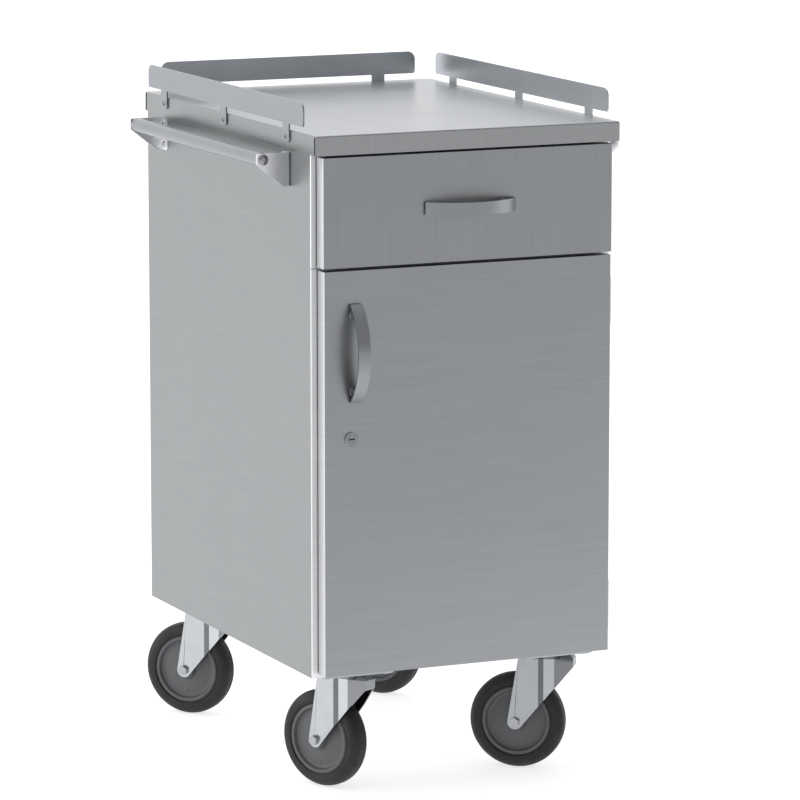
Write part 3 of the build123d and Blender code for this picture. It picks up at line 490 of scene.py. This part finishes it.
# %% Plated pieces
CORNERS = ("front_left", "front_right", "rear_left", "rear_right")
FORK_TONES = ("#b6b8ba", "#c0c2c4")
# The front right fork is painted darker than the others: painted shade
SHADED_FRONT_RIGHT_FORK_TONES = ("#9ea0a2", "#a8aaac")
FORK_SPANGLE = 1.8


def fork_finish(corner):
    pivot = Vector(joints["swivel_" + corner + "_turn"]["pos_m"])
    wheel = Vector(joints["wheel_" + corner + "_roll"]["pos_m"])
    ahead = Vector((pivot.x - wheel.x, pivot.y - wheel.y, 0)).normalized()
    name = "bright zinc-plated steel, fork " + corner.replace("_", " ")
    tones = SHADED_FRONT_RIGHT_FORK_TONES if corner == "front_right" else FORK_TONES
    return plated_steel(name, *tones, FORK_SPANGLE, (0.12, 0.2), (pivot, ahead))


zinc_steel = plated_steel(
    "bright zinc-plated steel, slides and plates", "#a9adb2", "#bcc0c4", 3.0, (0.25, 0.4)
)
fork_steel = {corner: fork_finish(corner) for corner in CORNERS}
chrome = satin_steel("chrome-plated zinc casting, lock", "#8f9193", "#999b9c", [6] * 3, (0.1, 0.18))
print("metal finishes:", len([m for m in bpy.data.materials if "steel" in m.name]))

# %% [markdown]
# ## Rubber and plastic
# The tyres are solid black rubber with a faint bloom of dust. The wheel centres are grey moulded nylon
# with a spark-eroded texture. Neither is metal, so both get their colour from inside the surface and only
# a soft shine on it, with an index of refraction near 1.5.


# %% Rubber and nylon
DUST_SIZE = 22


def moulded(name, dark, light, grain_mm, rough, ior, depth_mm):
    """Moulded rubber or plastic with a fine texture and a dusty bloom."""
    material, tree, place, surface = new_material(name)
    grain = noise(tree, place, [grain_mm] * 3, 3.0)
    dust = noise(tree, place, [DUST_SIZE] * 3, 4.0, 0.6)
    uneven = add_node(tree, "Mix", {"Factor": 0.7}, {"A": grain, "B": dust}).outputs["Result"]
    tree.links.new(blend_colours(tree, uneven, dark, light), surface.inputs["Base Color"])
    tree.links.new(spread(tree, dust, *rough), surface.inputs["Roughness"])
    surface.inputs["IOR"].default_value = ior
    roughen(tree, surface, grain, depth_mm, 0.4)
    return material


tyre_rubber = moulded("black solid tyre rubber", "#080809", "#0e0e0f", 0.8, (0.5, 0.68), 1.52, 0.05)
rim_nylon = moulded("grey moulded nylon", "#4d4f50", "#58595b", 0.6, (0.42, 0.55), 1.53, 0.03)
pad_rubber = moulded("dark soft rubber pads", "#2b2b2c", "#39393a", 0.7, (0.6, 0.75), 1.52, 0.04)
seal_rubber = moulded("black nitrile seal rubber", "#161617", "#222223", 0.5, (0.4, 0.55), 1.52, 0.02)
print("moulded finishes:", [m.name for m in (tyre_rubber, rim_nylon, pad_rubber, seal_rubber)])

# %% [markdown]
# ## Dress the CAD parts
# Every CAD part keeps its shape and gets the finish that its real counterpart has. The list follows the
# record's material slots, and a few sheets are named one by one because their grain runs another way.

# %% Give each part its finish
SLOT_FINISH = {
    "steel_body": inner_steel,
    "steel_front": door_steel,
    "steel_tube": rail_steel,
    "zinc_plate": zinc_steel,
    "fastener_steel": screw_steel,
    "lock_chrome": chrome,
    "rim_plastic": rim_nylon,
    "tyre_rubber": tyre_rubber,
    "bumper_rubber": pad_rubber,
}
OWN_FINISH = {
    "drawer_front": drawer_steel,
    "side_panel_left": side_steel,
    "side_panel_right": side_steel,
    "top_tray": top_steel,
    "guard_rail_left": shaded_left_rail,
    "guard_rail_back": lit_back_rail,
    "body_rivets": rivet_steel,
    "push_bar_left": bar_steel,
    "push_bar_right": bar_steel,
    "push_bar_brackets_left": lit_bracket_steel,
    "push_bar_brackets_right": lit_bracket_steel,
    "drawer_pull": level_pull,
    "door_pull": upright_pull,
}
OWN_FINISH |= {"caster_fork_" + corner: fork_steel[corner] for corner in CORNERS}


def dress(node, finish):
    for slot in node.material_slots:
        slot.material = finish


for part in frame["record"]["subparts"]:
    dress(nodes[part["node"]], OWN_FINISH.get(part["node"]) or SLOT_FINISH[part["material_slot"]])

# %% [markdown]
# ## Soft edges
# A cut strip never has a knife edge: its edges are deburred. The CAD strips and forks have square edges, so
# a thin bevel is put on them. It could be modelled, but a modifier leaves the CAD mesh as it is: Weld joins
# its loose triangles first, and Bevel then rounds only the sharp corners, which is where the light catches.

# %% Round the sheet edges
EDGE_RADIUS = 0.35
SEAM_WIDTH = 0.000002
SHARP_ANGLE = 40
SOFT_EDGES = [
    "guard_rail_left",
    "guard_rail_right",
    "guard_rail_back",
    "push_bar_brackets_left",
    "push_bar_brackets_right",
]
SOFT_EDGES += ["caster_fork_" + corner for corner in CORNERS]


def soften(node):
    weld = node.modifiers.new("weld", "WELD")
    weld.merge_threshold = SEAM_WIDTH
    bevel = node.modifiers.new("bevel", "BEVEL")
    bevel.width = EDGE_RADIUS * MM
    bevel.segments = 2
    bevel.limit_method = "ANGLE"
    bevel.angle_limit = radians(SHARP_ANGLE)
    bevel.use_clamp_overlap = True
    bevel.harden_normals = True


for name in SOFT_EDGES:
    soften(nodes[name])
print("softened", len(SOFT_EDGES), "pieces")

# %% [markdown]
# ## Turned details
# Screw heads, seals and beads are all turned shapes: half a section spun round an axis. They could start
# from cylinders, but a spun section gives every shoulder and round in one go. The section is a closed row
# of points, each a radius and a height along the axis.


# %% A spun ring
def turned(shape, section, centre, axis, steps=32):
    """Spin a closed section, given in metres, round the axis through the centre."""
    axis = Vector(axis).normalized()
    aside = axis.orthogonal().normalized()
    points = [shape.verts.new(Vector(centre) + aside * radius + axis * height) for radius, height in section]
    edges = [shape.edges.new(pair) for pair in zip(points, points[1:] + points[:1])]
    bmesh.ops.spin(
        shape, geom=points + edges, cent=centre, axis=axis, angle=2 * pi, steps=steps, use_merge=True
    )


# Points nearer than the first are one point, and faces thinner than the second are closed, in metres
DOUBLE = 0.000001
SLIVER = 0.0000005
SHADING_ANGLE = 35


def finish_piece(name, shape, body, finish):
    """Close the seams, turn the faces outwards and hand the piece to its body."""
    bmesh.ops.remove_doubles(shape, verts=shape.verts, dist=DOUBLE)
    bmesh.ops.dissolve_degenerate(shape, edges=shape.edges, dist=SLIVER)
    bmesh.ops.recalc_face_normals(shape, faces=shape.faces)
    mesh = bpy.data.meshes.new(name)
    shape.to_mesh(mesh)
    shape.free()
    for face in mesh.polygons:
        face.use_smooth = True
    mesh.set_sharp_from_angle(angle=radians(SHADING_ANGLE))
    mesh.materials.append(finish)
    piece = bpy.data.objects.new(name, mesh)
    scene.collection.objects.link(piece)
    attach(piece, body)
    print(name, "on", body, len(mesh.polygons), "faces")


def arc(centre, radius, start, end, steps):
    """Points of a round stretch of a section, in millimetres; angles in degrees."""
    turns = [radians(start + (end - start) * step / steps) for step in range(steps + 1)]
    return [(centre[0] + radius * cos(turn), centre[1] + radius * sin(turn)) for turn in turns]


def in_metres(section):
    return [(radius * MM, height * MM) for radius, height in section]


print("a piece is sharp where its faces turn by more than", SHADING_ANGLE, "degrees")

# %% [markdown]
# ## Rivet ends
# A blind rivet keeps the broken end of its mandrel in the middle of its dome. The mandrel is painted near-black,
# painted shade for the rivet's hole. The domes are CAD parts, so each only needs its mandrel: a small turned
# stub with a rounded rim, where the rivet's dome is highest.

# %% Mandrels in the rail rivets
RIVET_DROP = 9.0
SIDE_LEG_PITCH = 207
BACK_LEG_OFFSET = 131
MANDREL = [(0.0, 1.1), (1.25, 1.1), (1.25, 1.62)] + arc((1.0, 1.62), 0.2, 0, 90, 3) + [(0.0, 1.82)]
rail_low, rail_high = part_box("guard_rail_left")
rivet_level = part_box("top_tray")[1].z - RIVET_DROP * MM


def rail_rivet_points():
    """Where the three side legs and the two rear legs are riveted, with the direction outwards."""
    middle = (rail_low.y + rail_high.y) / 2
    spots = []
    for side, x in ((-1, rail_low.x), (1, -rail_low.x)):
        for step in (-1, 0, 1):
            spots.append((Vector((x, middle + step * SIDE_LEG_PITCH * MM, rivet_level)), (side, 0, 0)))
    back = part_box("guard_rail_back")[1].y
    spots += [(Vector((side * BACK_LEG_OFFSET * MM, back, rivet_level)), (0, 1, 0)) for side in (-1, 1)]
    return spots


def make_mandrels():
    shape = bmesh.new()
    for centre, outward in rail_rivet_points():
        turned(shape, in_metres(MANDREL), centre, outward, 20)
    finish_piece("rivet_mandrels", shape, "cabinet", mandrel_steel_painted_dark)


make_mandrels()

# %% [markdown]
# ## Collars under the pulls
# Each pull stands on two posts, and a small turned collar covers the hole in the sheet. Without it a post
# would seem to grow out of the steel. The collar is a low ring with a rounded shoulder round each post.

# %% Post collars
POST_HALF_PITCH = 48.0
COLLAR = [(5.0, 0.0), (7.4, 0.0), (7.4, 0.7)] + arc((6.9, 0.7), 0.5, 0, 90, 4) + [(5.0, 1.2)]


def make_collars(name, body, middle, along):
    shape = bmesh.new()
    for side in (-1, 1):
        centre = middle + Vector(along) * side * POST_HALF_PITCH * MM
        turned(shape, in_metres(COLLAR), centre, (0, -1, 0), 40)
    finish_piece(name, shape, body, screw_steel)


def face_point(pull, skin):
    """The middle of a pull on the outer face of its front."""
    low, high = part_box(pull)
    return Vector(((low.x + high.x) / 2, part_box(skin)[0].y, (low.z + high.z) / 2))


make_collars("drawer_pull_collars", "drawer", face_point("drawer_pull", "drawer_front"), (1, 0, 0))
make_collars("door_pull_collars", "door", face_point("door_pull", "door_skin"), (0, 0, 1))

# %% [markdown]
# ## Hinge screw heads
# The CAD screws are plain shanks. On the door's edge their heads show: low, domed, with a socket. A head
# is turned with its socket as a step in the section, which is enough at this size.

# %% Heads on the door leaves
LEAF_THICKNESS = 1.3
HINGE_SCREW_INSET = 7.0
HINGE_SCREW_PITCH = 36.0
HINGE_INSET = 60
SCREW_SOCKET = [(1.3, 1.0), (1.1, 0.2)]
SCREW_HEAD = [(1.1, -0.2), (3.2, -0.2), (3.2, 0.1)] + arc((2.2, 0.1), 1.0, 0, 80, 4) + SCREW_SOCKET
door_low, door_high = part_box("door_skin")


def make_screw_heads():
    shape = bmesh.new()
    x = door_high.x + LEAF_THICKNESS * MM
    y = door_low.y + HINGE_SCREW_INSET * MM
    for level in (door_low.z + HINGE_INSET * MM, door_high.z - HINGE_INSET * MM):
        for side in (-1, 1):
            centre = Vector((x, y, level + side * HINGE_SCREW_PITCH / 2 * MM))
            turned(shape, in_metres(SCREW_HEAD), centre, (1, 0, 0), 24)
    finish_piece("hinge_screw_heads", shape, "door", screw_steel)


make_screw_heads()

# %% [markdown]
# ## Lock face
# The plug carries a raised rim, so that the key finds its slot. The rim could be inset from the plug's own
# face, but that face belongs to the CAD mesh, which stays as it is, so a thin ring is spun on top of it.

# %% Rim of the plug
PLUG_RIM = [(4.5, -0.2), (5.3, -0.2), (5.3, 0.2)] + arc((5.1, 0.2), 0.2, 0, 90, 3) + [(4.5, 0.3)]
lock_low, lock_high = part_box("lock_housing")
lock_face = Vector(((lock_low.x + lock_high.x) / 2, lock_low.y, (lock_low.z + lock_high.z) / 2))


def make_lock_rim():
    rim = bmesh.new()
    turned(rim, in_metres(PLUG_RIM), lock_face, (0, -1, 0), 48)
    finish_piece("lock_plug_rim", rim, "lock", chrome)


make_lock_rim()

# %% [markdown]
# ## Painted shade in the keyway
# A keyhole looks black because of the shade inside it, so a thin black plate, painted shade, with rounded
# corners lies just below the face of the plug. A boolean cut could make the hole itself, but the plate
# gives the same dark slot. It is a cube scaled to size, with its four edges along the depth
# bevelled.

# %% Black plate in the key slot as painted shade
KEYWAY_LENGTH = 7.8
KEYWAY_WIDTH = 2.1
KEYWAY_THICKNESS = 1.2
KEYWAY_DEPTH = 0.35
KEYWAY_ROUND = 0.4


def make_keyway_shade():
    shape = bmesh.new()
    bmesh.ops.create_cube(shape, size=1.0)
    size = (KEYWAY_LENGTH * MM, KEYWAY_THICKNESS * MM, KEYWAY_WIDTH * MM)
    bmesh.ops.scale(shape, vec=size, verts=shape.verts)
    sides = [edge for edge in shape.edges if abs(edge.verts[0].co.y - edge.verts[1].co.y) > MM]
    bmesh.ops.bevel(
        shape, geom=sides, offset=KEYWAY_ROUND * MM, segments=3, profile=0.5, affect="EDGES", material=-1,
        clamp_overlap=True,
    )
    plug_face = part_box("lock_plug")[0].y
    middle = Vector((lock_face.x, plug_face + (KEYWAY_DEPTH + KEYWAY_THICKNESS / 2) * MM, lock_face.z))
    bmesh.ops.translate(shape, vec=middle, verts=shape.verts)
    # The black plate is painted shade in the key slot
    finish_piece("lock_keyway_shade", shape, "lock", seal_rubber)


make_keyway_shade()

# %% [markdown]
# ## Caster details
# A swivel caster hides two rows of balls behind a rubber lip. Its tyre has thin beads from the mould on
# each sidewall, and its hub has a steel sleeve that turns on the axle. All are rings round one of the two
# axes that the joints already hold: the swivel's and the wheel's.

# %% Seals at the swivels
SEAL_LIP = [(26.0, 0.4)] + arc((26.6, 1.2), 0.8, -90, 90, 8) + [(26.0, 2.0)]


def make_seals():
    shape = bmesh.new()
    for corner in CORNERS:
        pivot = Vector(joints["swivel_" + corner + "_turn"]["pos_m"])
        turned(shape, in_metres(SEAL_LIP), pivot, (0, 0, 1), 64)
    finish_piece("swivel_seals", shape, "cabinet", seal_rubber)


make_seals()

# %% Beads and sleeves on the wheels
BEAD_RADIUS = 47.2
BEAD_SIZE = 0.45
SIDEWALL = 15.0
SLEEVE = [(4.2, 18.0), (7.6, 18.0), (7.6, 18.12)] + arc((7.4, 18.12), 0.12, 0, 90, 3) + [(4.2, 18.24)]


def bead(radius, height, size):
    """A half-round bead that stands on a sidewall."""
    foot = height - size
    return [(radius - size, foot)] + arc((radius, height), size, 180, 0, 8) + [(radius + size, foot)]


def make_wheel_rings(corner):
    joint = joints["wheel_" + corner + "_roll"]
    centre, axle = Vector(joint["pos_m"]), Vector(joint["axis"])
    beads = bmesh.new()
    sleeves = bmesh.new()
    for side in (-1, 1):
        turned(beads, in_metres(bead(BEAD_RADIUS, SIDEWALL, BEAD_SIZE)), centre, axle * side, 96)
        turned(sleeves, in_metres(SLEEVE), centre, axle * side, 32)
    finish_piece("tyre_beads_" + corner, beads, "wheel_" + corner, tyre_rubber)
    finish_piece("hub_sleeves_" + corner, sleeves, "wheel_" + corner, screw_steel)


for corner in CORNERS:
    make_wheel_rings(corner)

# %% [markdown]
# ## Moulding marks on the wheels
# The nylon centres are moulded through one small gate, which leaves a round pip on the web. It is too
# small to be a part, but it shows which way a wheel has turned.

# %% Gate pips
PIP_OFFSET = 30.0
WEB_FACE = 10.1
PIP = [(0, -0.8), (1.5, -0.8), (1.5, 0.3), (1.1, 0.7), (0, 0.7)]


def make_pip(corner):
    joint = joints["wheel_" + corner + "_roll"]
    centre, axle = Vector(joint["pos_m"]), Vector(joint["axis"])
    shape = bmesh.new()
    for side in (-1, 1):
        spot = centre + Vector((0, 0, -PIP_OFFSET * MM)) + axle * side * WEB_FACE * MM
        turned(shape, in_metres(PIP), spot, axle * side, 16)
    finish_piece("gate_pips_" + corner, shape, "wheel_" + corner, rim_nylon)


for corner in CORNERS:
    make_pip(corner)
